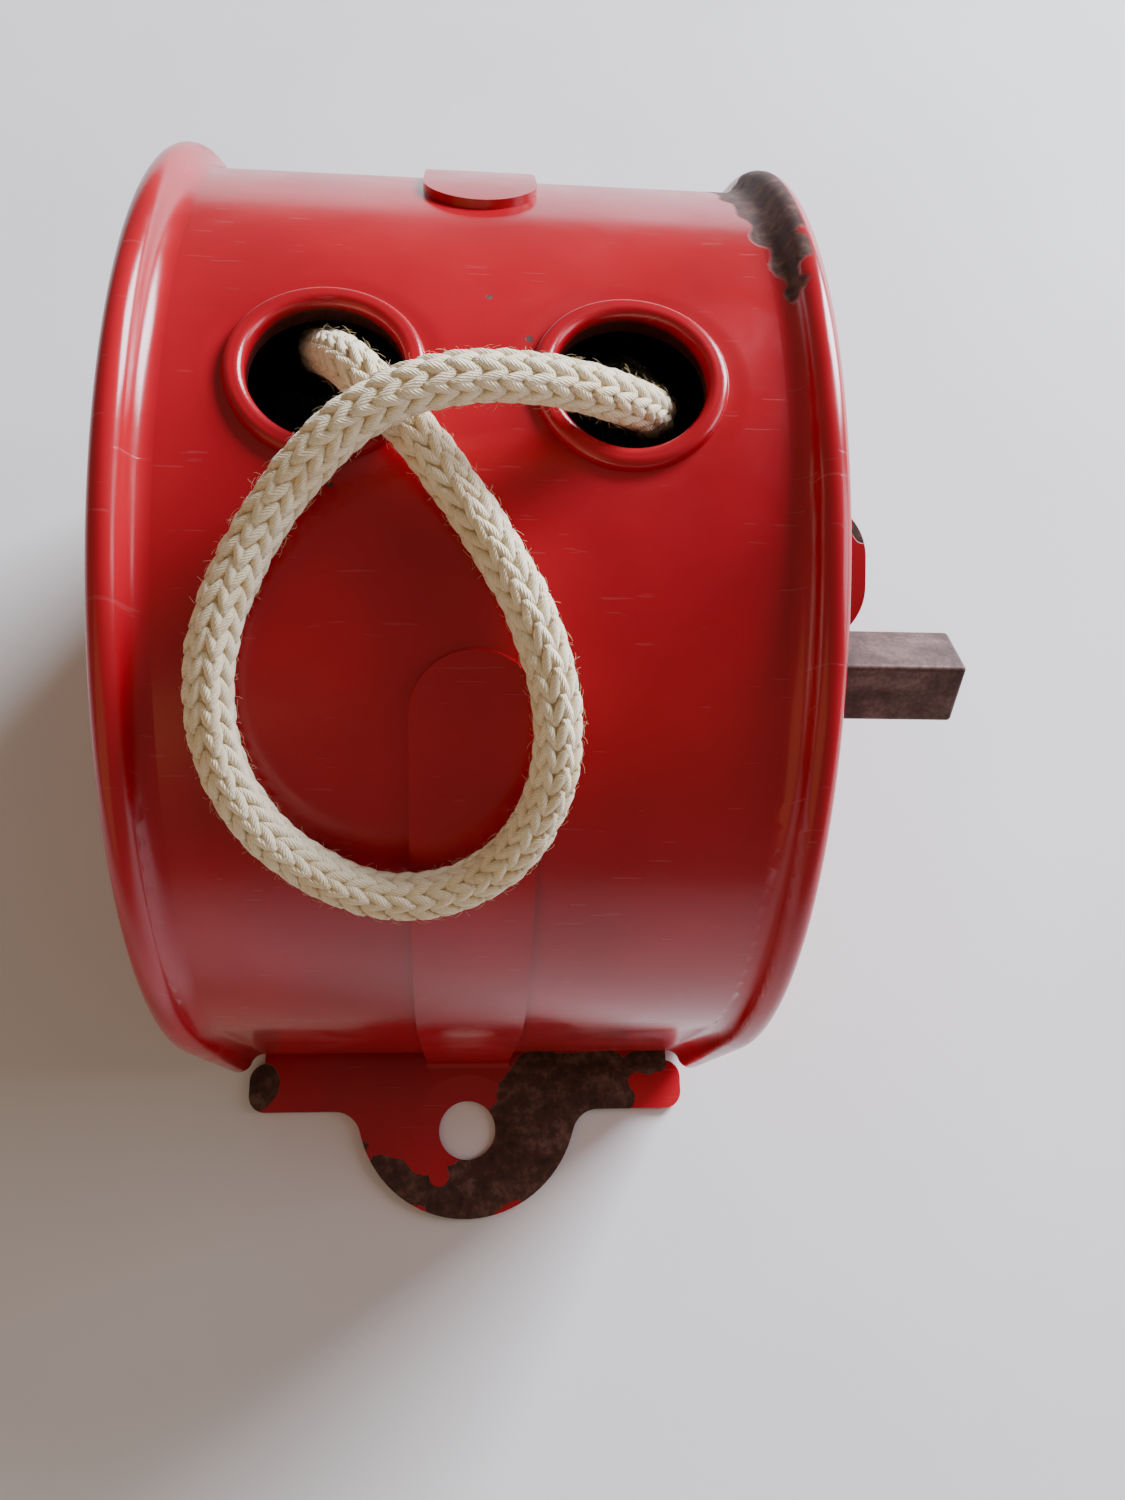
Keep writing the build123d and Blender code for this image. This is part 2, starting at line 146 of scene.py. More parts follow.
# %% The line's control points
DRUM_R = 57.3
DRUM_Z = 41.2
LINE_D = 4.8
LINE_ROUTE = [
    (-18.6, -49.1, -22.9), (-18.6, -40.0, -20.4), (-18.4, -31.5, -17.8), (-18.0, -22.8, -14.6),
    (-17.4, -14.0, -10.6), (-16.4, -9.0, -7.0), (-15.0, -4.4, -3.0), (-13.2, -0.4, 1.1),
    (-10.4, 3.6, 3.7), (-6.6, 7.6, 3.5), (-2.2, 12.8, 2.8), (2.2, 19.0, 2.8),
    (5.8, 25.4, 3.4), (7.8, 32.0, 4.2), (7.8, 38.4, 4.1), (5.8, 44.2, 4.1),
    (2.0, 48.8, 4.1), (-3.4, 51.6, 4.1), (-9.6, 52.0, 3.7), (-15.6, 49.8, 2.9),
    (-20.6, 45.4, 2.8), (-24.0, 39.4, 2.8), (-25.2, 32.6, 2.8), (-24.2, 25.6, 2.8),
    (-21.4, 19.2, 3.0), (-17.4, 13.8, 4.8), (-12.6, 9.6, 7.4), (-7.0, 7.0, 9.1),
    (-0.6, 5.6, 9.1), (5.8, 4.9, 7.6), (11.3, 4.5, 4.9), (15.2, 3.4, 1.2),
    (17.5, 1.4, -3.2), (18.6, -1.6, -7.8), (19.2, -6.8, -12.0), (19.4, -13.6, -15.8),
    (19.2, -22.2, -18.5), (18.8, -31.6, -20.4), (18.4, -42.0, -21.8), (18.2, -52.4, -23.4),
]


def over_drum(x, degrees, height):
    a, r = math.radians(degrees), DRUM_R + height
    return Vector((x, -r * math.sin(a), DRUM_Z + r * math.cos(a))) * MM


print(len(LINE_ROUTE), "control points")

# %% Curves and plain meshes
CURVE_STEPS = 16


def open_curve(name, points, kind="NURBS"):
    """An open curve: NURBS runs smoothly between its points, POLY goes straight to each."""
    data = bpy.data.curves.new(name, "CURVE")
    data.dimensions = "3D"
    data.resolution_u = CURVE_STEPS
    spline = data.splines.new(kind)
    spline.points.add(len(points) - 1)
    for knot, point in zip(spline.points, points):
        knot.co = (*point, 1)
    if kind == "NURBS":
        spline.order_u = 3
        spline.use_endpoint_u = True
    made = bpy.data.objects.new(name, data)
    bpy.context.collection.objects.link(made)
    return made


def plain_mesh(source, name):
    """The evaluated shape of an object as an ordinary mesh object."""
    bpy.context.view_layer.update()
    seen = source.evaluated_get(bpy.context.evaluated_depsgraph_get())
    made = bpy.data.objects.new(name, bpy.data.meshes.new_from_object(seen))
    bpy.context.collection.objects.link(made)
    return made


route = open_curve("line_route", [over_drum(*p) for p in LINE_ROUTE])
read = plain_mesh(route, "line_route_points")
bpy.data.objects.remove(read)

# %% [markdown]
# ## Cotton
# The line is undyed twisted cotton: matte, cream on the crowns of its stitches and browner
# between them, where the browner colour is painted shade. A painted texture would have to be
# stretched along the cord, so the colour is worked out from attributes that each stitch
# carries: its own yarn map, and how high a point lies on its crown.


# %% Cotton: matte twisted yarn with a soft sheen from its fibres
def cotton(name, light, dark, deep):
    made, tree, shader, place = material(name)
    # yarn fibres are about 0.02 mm wide, drawn here about 0.3 mm apart so that they show
    yarn = add(tree, "ShaderNodeAttribute", {"attribute_name": "yarn"})
    ply = add(tree, "ShaderNodeTexWave", {"wave_type": "BANDS", "bands_direction": "DIAGONAL"},
              {"Vector": yarn.outputs["Vector"], "Scale": 7.0, "Distortion": 1.5,
               "Detail": 2.0, "Detail Scale": 2.0})
    # soil in patches 8 mm across, and a grain of 0.4 mm
    soil = add(tree, "ShaderNodeTexNoise", None,
               {"Vector": place, "Scale": 130.0, "Detail": 4.0, "Roughness": 0.6})
    grain = add(tree, "ShaderNodeTexNoise", None,
                {"Vector": place, "Scale": 2600.0, "Detail": 2.0, "Roughness": 0.7})
    body = add(tree, "ShaderNodeValToRGB", None, {0: soil.outputs["Fac"]},
               [(0.30, dark), (0.52, light), (0.75, light)])
    fleck = add(tree, "ShaderNodeValToRGB", None, {0: grain.outputs["Fac"]},
                [(0.32, "#DDD2BC"), (0.62, "#FFFFFF")])
    flecked = add(tree, "ShaderNodeMix", {"data_type": "RGBA", "blend_type": "MULTIPLY"},
                  {0: 0.25, 6: body.outputs[0], 7: fleck.outputs[0]})
    # between the stitches the colour darkens towards deep: painted shade where the cord shades itself
    crown = add(tree, "ShaderNodeAttribute", {"attribute_name": "crown"})
    shade = add(tree, "ShaderNodeMix", {"data_type": "RGBA"},
                {0: crown.outputs["Fac"], 6: tint(deep), 7: flecked.outputs[2]})
    twist = add(tree, "ShaderNodeBump", None,
                {"Strength": 0.7, "Distance": 0.08 * MM, "Height": ply.outputs["Fac"]})
    fluff = add(tree, "ShaderNodeBump", None,
                {"Strength": 0.5, "Distance": 0.05 * MM, "Height": grain.outputs["Fac"],
                 "Normal": twist.outputs["Normal"]})
    feed(tree, shader, {"Base Color": shade.outputs[2], "Normal": fluff.outputs["Normal"],
                        "Roughness": 0.92, "Specular IOR Level": 0.25,
                        "Sheen Weight": 0.5, "Sheen Roughness": 0.5})
    return made


cotton_line = cotton("solid_braid_cotton", "#FFF3D2", "#F3DFB4", "#D0B684")
# the coils' cotton is dark brown: painted shade for the inside of the drum
coiled_cotton = cotton("coiled_cotton_in_shade", "#6E6350", "#4E4436", "#2A231C")
print("made", cotton_line.name, "and", coiled_cotton.name)

# %% [markdown]
# ## The braid
# In a solid braid each strand lies as a chain of small V-shaped stitches, in rows that run
# along the cord. A tube with a bump map looks flat where the cord turns against the light, so
# the stitches are real: a Geometry Nodes tree makes one ring of stitches, puts a ring at
# every step along the route, adds a core to close the gaps, and lets fine fibres stand out.
# Every size is a named input, in metres, and the random numbers have a fixed seed.

# %% A small kit for Geometry Nodes trees
FLOAT, INT, MATERIAL = "NodeSocketFloat", "NodeSocketInt", "NodeSocketMaterial"


def new_tree(name, inputs):
    """A tree with a Geometry input and output and these named inputs (name, type, value)."""
    tree = bpy.data.node_groups.new(name, "GeometryNodeTree")
    face = tree.interface
    face.new_socket("Geometry", in_out="INPUT", socket_type="NodeSocketGeometry")
    for label, kind, value in inputs:
        face.new_socket(label, in_out="INPUT", socket_type=kind).default_value = value
    face.new_socket("Geometry", in_out="OUTPUT", socket_type="NodeSocketGeometry")
    return tree, tree.nodes.new("NodeGroupInput").outputs


def end_tree(tree, geometry, finish):
    """Every tree ends the same way: instances made real, shaded smooth, one material."""
    solid = add(tree, "GeometryNodeRealizeInstances", None, {"Geometry": geometry})
    smooth = add(tree, "GeometryNodeSetShadeSmooth", None, {"Geometry": solid.outputs[0]})
    done = add(tree, "GeometryNodeSetMaterial", None,
               {"Geometry": smooth.outputs[0], "Material": finish})
    add(tree, "NodeGroupOutput", None, {0: done.outputs[0]})
    print(tree.name, "has", len(tree.nodes), "nodes")
    return tree


def grow(source, tree, values, name):
    """Run a tree on an object with some of its inputs set, and keep the result as a mesh."""
    modifier = source.modifiers.new(tree.name, "NODES")
    modifier.node_group = tree
    for item in tree.interface.items_tree:
        if item.item_type == "SOCKET" and item.in_out == "INPUT" and item.name in values:
            modifier[item.identifier] = values[item.name]
    made = plain_mesh(source, name)
    source.modifiers.remove(modifier)
    triangles = sum(len(p.vertices) - 2 for p in made.data.polygons)
    print("%s: %d triangles" % (name, triangles))
    return made


# %% One stitch: two plump yarns that lean together into a V
braid, given = new_tree("solid_braid", [
    ("Stitch step", FLOAT, 0.0022), ("Rows", INT, 7), ("Row radius", FLOAT, 0.00178),
    ("Yarn thickness", FLOAT, 0.00060), ("Stitch length", FLOAT, 0.0018),
    ("Stitch slant", FLOAT, 0.34), ("Core radius", FLOAT, 0.0019),
    ("Unevenness", FLOAT, 0.0005), ("Wander", FLOAT, 1.6),
    ("Fibres per square mm", FLOAT, 1.1), ("Fibre length", FLOAT, 0.0011),
    ("Fibre seed", INT, 4), ("Yarn", MATERIAL, None)])
YARNS_OVERLAP = 0.86

ball = add(braid, "GeometryNodeMeshUVSphere", None, {"Segments": 8, "Rings": 5, "Radius": 1.0})
marked = add(braid, "GeometryNodeStoreNamedAttribute", {"data_type": "FLOAT2", "domain": "CORNER"},
             {"Geometry": ball.outputs["Mesh"], "Name": "yarn", "Value": ball.outputs["UV Map"]})
where = add(braid, "GeometryNodeInputPosition")
outward = add(braid, "ShaderNodeSeparateXYZ", None, {0: where.outputs[0]})
height = add(braid, "ShaderNodeMapRange", {"interpolation_type": "SMOOTHSTEP"},
             {"Value": outward.outputs[0], "From Min": -0.35, "From Max": 0.45})
crowned = add(braid, "GeometryNodeStoreNamedAttribute", {"data_type": "FLOAT", "domain": "POINT"},
              {"Geometry": marked.outputs[0], "Name": "crown", "Value": height.outputs[0]})
plump = add(braid, "ShaderNodeCombineXYZ", None,
            {0: given["Yarn thickness"], 1: given["Yarn thickness"], 2: given["Stitch length"]})
yarn = add(braid, "GeometryNodeTransform", None,
           {"Geometry": crowned.outputs[0], "Scale": plump.outputs[0]})
apart = add(braid, "ShaderNodeMath", {"operation": "MULTIPLY"},
            {0: given["Yarn thickness"], 1: YARNS_OVERLAP})
stitch = add(braid, "GeometryNodeJoinGeometry")
for way in (1.0, -1.0):
    slant = add(braid, "ShaderNodeMath", {"operation": "MULTIPLY"},
                {0: given["Stitch slant"], 1: way})
    aside = add(braid, "ShaderNodeMath", {"operation": "MULTIPLY"}, {0: apart.outputs[0], 1: way})
    lean = add(braid, "ShaderNodeCombineXYZ", None, {0: slant.outputs[0]})
    out = add(braid, "ShaderNodeCombineXYZ", None, {0: given["Row radius"], 1: aside.outputs[0]})
    half = add(braid, "GeometryNodeTransform", None,
               {"Geometry": yarn.outputs[0], "Rotation": lean.outputs[0],
                "Translation": out.outputs[0]})
    feed(braid, stitch, {0: half.outputs[0]})
print("one stitch made of two yarns")

# %% A ring of stitches round the cord, and a ring at every step of the route
round_cord = add(braid, "GeometryNodePoints", None, {"Count": given["Rows"]})
index = add(braid, "GeometryNodeInputIndex")
turns = add(braid, "ShaderNodeMath", {"operation": "MULTIPLY"}, {0: index.outputs[0], 1: math.tau})
share = add(braid, "ShaderNodeMath", {"operation": "DIVIDE"},
            {0: turns.outputs[0], 1: given["Rows"]})
facing = add(braid, "ShaderNodeCombineXYZ", None, {2: share.outputs[0]})
ring = add(braid, "GeometryNodeInstanceOnPoints", None,
           {"Points": round_cord.outputs[0], "Instance": stitch.outputs[0],
            "Rotation": facing.outputs[0]})
even = add(braid, "GeometryNodeResampleCurve", {"mode": "LENGTH"},
           {"Curve": given["Geometry"], "Length": given["Stitch step"]})
steps = add(braid, "GeometryNodeCurveToPoints", {"mode": "EVALUATED"}, {"Curve": even.outputs[0]})
# the rows wander slowly round the cord, as a limp line twists in the hand
drift = add(braid, "ShaderNodeTexNoise", {"noise_dimensions": "1D"},
            {"W": index.outputs[0], "Scale": 0.045, "Detail": 1.0})
centred = add(braid, "ShaderNodeMath", {"operation": "SUBTRACT"}, {0: drift.outputs["Fac"], 1: 0.5})
reach = add(braid, "ShaderNodeMath", {"operation": "MULTIPLY"}, {0: given["Wander"], 1: 2.0})
wander = add(braid, "ShaderNodeMath", {"operation": "MULTIPLY"},
             {0: centred.outputs[0], 1: reach.outputs[0]})
twist = add(braid, "ShaderNodeCombineXYZ", None, {2: wander.outputs[0]})
turned = add(braid, "FunctionNodeRotateRotation", {"rotation_space": "LOCAL"},
             {0: steps.outputs["Rotation"], 1: twist.outputs[0]})
rings = add(braid, "GeometryNodeInstanceOnPoints", None,
            {"Points": steps.outputs["Points"], "Instance": ring.outputs[0],
             "Rotation": turned.outputs[0]})
print("rings of stitches follow the route")

# %% A core that closes the gaps
CORE_STEP = 1.6 * MM
CORE_SIDES = 12
fine = add(braid, "GeometryNodeResampleCurve", {"mode": "LENGTH"},
           {"Curve": given["Geometry"], "Length": CORE_STEP})
disc = add(braid, "GeometryNodeCurvePrimitiveCircle", {"mode": "RADIUS"},
           {"Resolution": CORE_SIDES, "Radius": given["Core radius"]})
core = add(braid, "GeometryNodeCurveToMesh", None,
           {"Curve": fine.outputs[0], "Profile Curve": disc.outputs["Curve"], "Fill Caps": True})
print("core of %d sides" % CORE_SIDES)

# %% Loose fibres: thin bent hairs on a skin just outside the core
SKIN_OUT = 1.16
SQUARE_MM = 1e6
HAIR_RADIUS = 0.011
skin_out = add(braid, "ShaderNodeMath", {"operation": "MULTIPLY"},
               {0: given["Core radius"], 1: SKIN_OUT})
shell = add(braid, "GeometryNodeCurvePrimitiveCircle", {"mode": "RADIUS"},
            {"Resolution": CORE_SIDES, "Radius": skin_out.outputs[0]})
skin = add(braid, "GeometryNodeCurveToMesh", None,
           {"Curve": fine.outputs[0], "Profile Curve": shell.outputs["Curve"]})
density = add(braid, "ShaderNodeMath", {"operation": "MULTIPLY"},
              {0: given["Fibres per square mm"], 1: SQUARE_MM})
dots = add(braid, "GeometryNodeDistributePointsOnFaces", {"distribute_method": "RANDOM"},
           {"Mesh": skin.outputs[0], "Seed": given["Fibre seed"], "Density": density.outputs[0]})
# one hair, drawn one unit long, stands out of the skin and bends over
arc = add(braid, "GeometryNodeCurvePrimitiveBezierSegment", {"mode": "POSITION"},
          {"Resolution": 4, "Start": (0, 0, -0.1), "Start Handle": (0.1, 0, 0.25),
           "End Handle": (0.55, 0.1, 0.45), "End": (0.95, 0.35, 0.4)})
thin = add(braid, "GeometryNodeCurvePrimitiveCircle", {"mode": "RADIUS"},
           {"Resolution": 3, "Radius": HAIR_RADIUS})
hair = add(braid, "GeometryNodeCurveToMesh", None,
           {"Curve": arc.outputs[0], "Profile Curve": thin.outputs["Curve"]})
size = add(braid, "FunctionNodeRandomValue", {"data_type": "FLOAT"},
           {2: 0.35, 3: 1.35, "Seed": 11})
long = add(braid, "ShaderNodeMath", {"operation": "MULTIPLY"},
           {0: size.outputs[1], 1: given["Fibre length"]})
hairs = add(braid, "GeometryNodeInstanceOnPoints", None,
            {"Points": dots.outputs["Points"], "Instance": hair.outputs[0],
             "Rotation": dots.outputs["Rotation"], "Scale": long.outputs[0]})
swing = add(braid, "FunctionNodeRandomValue", {"data_type": "FLOAT"},
            {2: 0.0, 3: math.tau, "Seed": given["Fibre seed"]})
swung = add(braid, "ShaderNodeCombineXYZ", None, {2: swing.outputs[1]})
spun = add(braid, "GeometryNodeRotateInstances", None,
           {0: hairs.outputs[0], "Rotation": swung.outputs[0]})
print("fibres stand %.0f %% outside the core" % (100 * (SKIN_OUT - 1)))

# %% Hand-worn yarn is never even, so every stitch is pushed a little out of its row
stitches = add(braid, "GeometryNodeRealizeInstances", None, {"Geometry": rings.outputs[0]})
push = add(braid, "ShaderNodeTexNoise", None, {"Scale": 420.0, "Detail": 2.0})
both_ways = add(braid, "ShaderNodeVectorMath", {"operation": "SUBTRACT"},
                {0: push.outputs["Color"], 1: (0.5, 0.5, 0.5)})
shift = add(braid, "ShaderNodeVectorMath", {"operation": "SCALE"},
            {0: both_ways.outputs[0], "Scale": given["Unevenness"]})
uneven = add(braid, "GeometryNodeSetPosition", None,
             {"Geometry": stitches.outputs[0], "Offset": shift.outputs[0]})
whole = add(braid, "GeometryNodeJoinGeometry")
for part in (uneven, core, spun):
    feed(braid, whole, {0: part.outputs[0]})
end_tree(braid, whole.outputs[0], given["Yarn"])

# %% Braid the line along its route
line = grow(route, braid, {"Yarn": cotton_line}, "braided_line")
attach(line, "housing")
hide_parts("line_loop")
bpy.data.objects.remove(route)

# %% [markdown]
# ## The coils
# Inside, each side of the spool holds a coil of the same cord, wound in layers. Only a few
# turns can ever be seen through a hole, in deep shade, so braiding them stitch by stitch
# would be wasted. They are a smooth cord swept along one long spiral.

# %% The path of a coil
AXLE_Z = 50.0
COIL_X = (0.6, 25.2)
COIL_R = (13.0, 26.0)
LAYERS = 3
TURNS_ACROSS = 5
POINTS_A_TURN = 40


def coil_points(side):
    """One line that winds out and back across the spool, a layer at a time."""
    pitch = (COIL_X[1] - COIL_X[0] - LINE_D) / (TURNS_ACROSS - 1)
    rise = (COIL_R[1] - COIL_R[0] - LINE_D) / (LAYERS - 1)
    points = []
    for layer in range(LAYERS):
        radius = COIL_R[0] + LINE_D / 2 + layer * rise
        for k in range(TURNS_ACROSS * POINTS_A_TURN + 1):
            turned_by = k / POINTS_A_TURN
            along = min(turned_by, TURNS_ACROSS - 1)
            if layer % 2:
                along = TURNS_ACROSS - 1 - along
            a = math.tau * turned_by
            x = side * (COIL_X[0] + LINE_D / 2 + along * pitch)
            points.append(Vector((x, radius * math.cos(a), AXLE_Z + radius * math.sin(a))) * MM)
    return points


print(LAYERS, "layers of", TURNS_ACROSS, "turns")

# %% Wind both coils
wound, given = new_tree("wound_cord", [("Cord radius", FLOAT, 0.0023), ("Yarn", MATERIAL, None)])
disc = add(wound, "GeometryNodeCurvePrimitiveCircle", {"mode": "RADIUS"},
           {"Resolution": 10, "Radius": given["Cord radius"]})
tube = add(wound, "GeometryNodeCurveToMesh", None,
           {"Curve": given["Geometry"], "Profile Curve": disc.outputs["Curve"],
            "Fill Caps": True})
end_tree(wound, tube.outputs[0], given["Yarn"])

for side, label in ((-1, "left"), (1, "right")):
    source = open_curve(label + "_spiral", coil_points(side), "POLY")
    coil = grow(source, wound, {"Yarn": coiled_cotton}, label + "_coil")
    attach(coil, "reel")
    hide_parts(label + "_line_winding")
    bpy.data.objects.remove(source)

# %% [markdown]
# ## Gloss enamel
# The drum was dipped in red gloss enamel and stoved: a smooth pale highlight over deep red.
# Old enamel isn't one red. It is a little darker where it pooled, it has a fine orange-peel
# skin, hair scratches, and pinholes and chips that let brown steel through. Each of these
# could be a picture laid on the drum, but noises read from a point's place have no seams.


# %% Scratches and pinholes
def scratches(tree, place, turn, scale):
    """Short thin lines: a noise that is squeezed 14 times along one leaning direction."""
    lean = add(tree, "ShaderNodeMapping", None,
               {"Vector": place, "Rotation": turn, "Scale": (scale, scale * 14, scale)})
    streak = add(tree, "ShaderNodeTexNoise", None,
                 {"Vector": lean.outputs[0], "Scale": 1.0, "Detail": 2.0})
    return add(tree, "ShaderNodeValToRGB", None, {0: streak.outputs["Fac"]},
               [(0.715, 0.0), (0.730, 1.0)]).outputs[0]


def pinholes(tree, place):
    """Chips under 1 mm across, at the centres of a few of the cells of a 9 mm pattern."""
    cells = add(tree, "ShaderNodeTexVoronoi", {"feature": "F1"}, {"Vector": place, "Scale": 110.0})
    rare = add(tree, "ShaderNodeTexNoise", None, {"Vector": place, "Scale": 70.0, "Detail": 2.0})
    dot = add(tree, "ShaderNodeValToRGB", None, {0: cells.outputs["Distance"]},
              [(0.035, 1.0), (0.055, 0.0)])
    gate = add(tree, "ShaderNodeValToRGB", None, {0: rare.outputs["Fac"]},
               [(0.60, 0.0), (0.64, 1.0)])
    return add(tree, "ShaderNodeMath", {"operation": "MULTIPLY"},
               {0: dot.outputs[0], 1: gate.outputs[0]}).outputs[0]


print("scratches and pinholes ready")


# %% Enamel: thick stoved paint, chipped to brown steel
def enamel(name, worn=None, dished=None, inside=None):
    """Red enamel. worn, dished and inside are functions that give a mask of bare steel, a
    height, and a mask where the red gives way to a dark brown of painted shade."""
    made, tree, shader, place = material(name)
    # slow changes over 25 mm, orange peel about 1.2 mm across
    pool = add(tree, "ShaderNodeTexNoise", None, {"Vector": place, "Scale": 40.0, "Detail": 3.0})
    peel = add(tree, "ShaderNodeTexNoise", None, {"Vector": place, "Scale": 800.0, "Detail": 1.0})
    red = add(tree, "ShaderNodeValToRGB", None, {0: pool.outputs["Fac"]},
              [(0.30, "#98091A"), (0.55, "#AB0E20"), (0.75, "#B81525")])
    scrape = add(tree, "ShaderNodeMix", {"data_type": "RGBA", "blend_type": "ADD"},
                 {0: 1.0, 6: scratches(tree, place, (0.3, 0.5, 0.9), 150.0),
                  7: scratches(tree, place, (1.2, 0.2, -0.5), 110.0)})
    coat = add(tree, "ShaderNodeMix", {"data_type": "RGBA", "blend_type": "SCREEN"},
               {0: 0.02, 6: red.outputs[0], 7: scrape.outputs[2]})
    chip = pinholes(tree, place)
    if worn:
        chip = add(tree, "ShaderNodeMath", {"operation": "MAXIMUM"},
                   {0: chip, 1: worn(tree, place)}).outputs[0]
    # rust blooms of 2.4 mm on the bare steel
    rust = add(tree, "ShaderNodeTexNoise", None,
               {"Vector": place, "Scale": 420.0, "Detail": 5.0, "Roughness": 0.7})
    steel = add(tree, "ShaderNodeValToRGB", None, {0: rust.outputs["Fac"]},
                [(0.30, "#2A1812"), (0.50, "#4E3228"), (0.70, "#785A4E")])
    colour = add(tree, "ShaderNodeMix", {"data_type": "RGBA"},
                 {0: chip, 6: coat.outputs[2], 7: steel.outputs[0]}).outputs[2]
    # where inside is 1 the red gives way to a dark brown: painted shade
    if inside:
        colour = add(tree, "ShaderNodeMix", {"data_type": "RGBA"},
                     {0: inside(tree, place), 6: colour, 7: tint("#3A1614")}).outputs[2]

    # handling leaves the gloss smeared in patches of 8 mm
    smear = add(tree, "ShaderNodeTexNoise", None,
                {"Vector": place, "Scale": 120.0, "Detail": 5.0, "Distortion": 0.6})
    gloss = add(tree, "ShaderNodeMapRange", None,
                {"Value": smear.outputs["Fac"], "From Min": 0.3, "From Max": 0.7,
                 "To Min": 0.16, "To Max": 0.27})
    matt = add(tree, "ShaderNodeMapRange", None,
               {"Value": rust.outputs["Fac"], "To Min": 0.70, "To Max": 0.95})
    rough = add(tree, "ShaderNodeMix", {"data_type": "FLOAT"},
                {0: chip, 2: gloss.outputs[0], 3: matt.outputs[0]})
    metallic = add(tree, "ShaderNodeMath", {"operation": "MULTIPLY"}, {0: chip, 1: 0.15})

    skin = add(tree, "ShaderNodeBump", None,
               {"Strength": 0.12, "Distance": 0.04 * MM, "Height": peel.outputs["Fac"]})
    hairline = add(tree, "ShaderNodeBump", {"invert": True},
                   {"Strength": 0.25, "Distance": 0.03 * MM, "Height": scrape.outputs[2],
                    "Normal": skin.outputs[0]})
    edge = add(tree, "ShaderNodeBump", {"invert": True},
               {"Strength": 0.8, "Distance": 0.12 * MM, "Height": chip,
                "Normal": hairline.outputs[0]})
    pitted = add(tree, "ShaderNodeMath", {"operation": "MULTIPLY"},
                 {0: rust.outputs["Fac"], 1: chip})
    relief = add(tree, "ShaderNodeBump", None,
                 {"Strength": 0.5, "Distance": 0.1 * MM, "Height": pitted.outputs[0],
                  "Normal": edge.outputs[0]})
    if dished:
        relief = add(tree, "ShaderNodeBump", None,
                     {"Strength": 1.0, "Distance": 0.15 * MM, "Height": dished(tree, place),
                      "Normal": relief.outputs[0]})
    feed(tree, shader, {"Base Color": colour, "Roughness": rough.outputs[0],
                        "Metallic": metallic.outputs[0], "Normal": relief.outputs[0],
                        "IOR": 1.52, "Specular IOR Level": 0.4,
                        "Coat Weight": 0.06, "Coat Roughness": 0.12})
    return made


paint = enamel("gloss_red_enamel")
print(paint.name, "has", len(paint.node_tree.nodes), "nodes")

# %% [markdown]
# ## Where the paint has gone
# Wear follows use: screws and a wall rub the lower foot down to brown steel, a thumb rubs one
# side of the pawl, and one ear of the rim has lost its paint. Painting a mask by hand needs a
# picture, so each place is a soft spot at a known point of the frame instead. Spots add up to
# a field, a noise frays its edge, and a ramp cuts it.


# %% Soft spots, frayed by noise
def spots(tree, place, centres, fray=0.5, scale=220.0, cut=(0.49, 0.53)):
    """A mask that is 1 near these (x, y, z, radius, weight) spots, all in mm. A negative
    weight leaves an island of paint."""
    lumps = add(tree, "ShaderNodeTexNoise", None,
                {"Vector": place, "Scale": scale, "Detail": 5.0, "Roughness": 0.62})
    total = add(tree, "ShaderNodeMapRange", None,
                {"Value": lumps.outputs["Fac"], "From Min": 0.25, "From Max": 0.75,
                 "To Min": -fray / 2, "To Max": fray / 2}).outputs[0]
    for x, y, z, radius, weight in centres:
        gap = add(tree, "ShaderNodeVectorMath", {"operation": "DISTANCE"},
                  {0: place, 1: Vector((x, y, z)) * MM})
        near = add(tree, "ShaderNodeMapRange", {"interpolation_type": "SMOOTHSTEP"},
                   {"Value": gap.outputs["Value"], "From Min": radius * 0.5 * MM,
                    "From Max": radius * 1.25 * MM, "To Min": weight, "To Max": 0.0})
        total = add(tree, "ShaderNodeMath", {"operation": "ADD"},
                    {0: total, 1: near.outputs[0]}).outputs[0]
    return add(tree, "ShaderNodeValToRGB", None, {0: total},
               [(cut[0], 0.0), (cut[1], 1.0)]).outputs[0]


print("spots ready")

# %% The lower foot: mostly bare, with islands of red
FOOT_BARE = [
    (12.3, -64.0, 1, 9, 0.9), (7.8, -72.4, 1, 8, 0.9), (-1.1, -79.0, 1, 6.5, 0.9),
    (-11, -75.5, 1, 5.5, 0.9), (-16.7, -68.5, 1, 3.6, 0.8), (21.2, -62.4, 1, 7, 0.9),
    (-32.8, -61.4, 1, 4.2, 1.0), (29.0, -58.8, 1, 3.5, 0.9), (-13.4, -62.5, 1, 8, -0.6),
    (-10.0, -69.0, 1, 4.0, -0.9), (-7.0, -72.6, 1, 2.6, -0.9), (-4.2, -75.4, 1, 1.6, -0.9),
    (-3.0, -60.5, 1, 5.0, -0.6), (30.6, -63.6, 1, 3.6, -1.2), (27.3, -61.4, 1, 1.8, -0.8),
]


def foot_wear(tree, place):
    return spots(tree, place, FOOT_BARE)


foot_paint = enamel("worn_red_enamel_on_the_foot", worn=foot_wear)
print(foot_paint.name, "with", len(FOOT_BARE), "spots")

# %% The thumb tab of the pawl, rubbed to bare metal at its upper end
THUMB_BARE = [(39.2, -13.5, 93.8, 1.7, 0.9), (39.2, -11.5, 94.2, 1.2, 0.7)]


def thumb_wear(tree, place):
    return spots(tree, place, THUMB_BARE, fray=0.4, scale=500.0)


pawl_paint = enamel("rubbed_red_enamel_on_the_pawl", worn=thumb_wear)
pawl_low, pawl_high = (Vector(corner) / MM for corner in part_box("pawl_lever"))
print("pawl from", [round(v, 1) for v in pawl_low], "to", [round(v, 1) for v in pawl_high])

# %% The outlets: their bores are painted dark below the lip: painted shade
OUTLETS = (-15.0, 15.0)
BORE_R = 8.4
BORE_TOP = 97.4
SHADE_FADE = 0.9


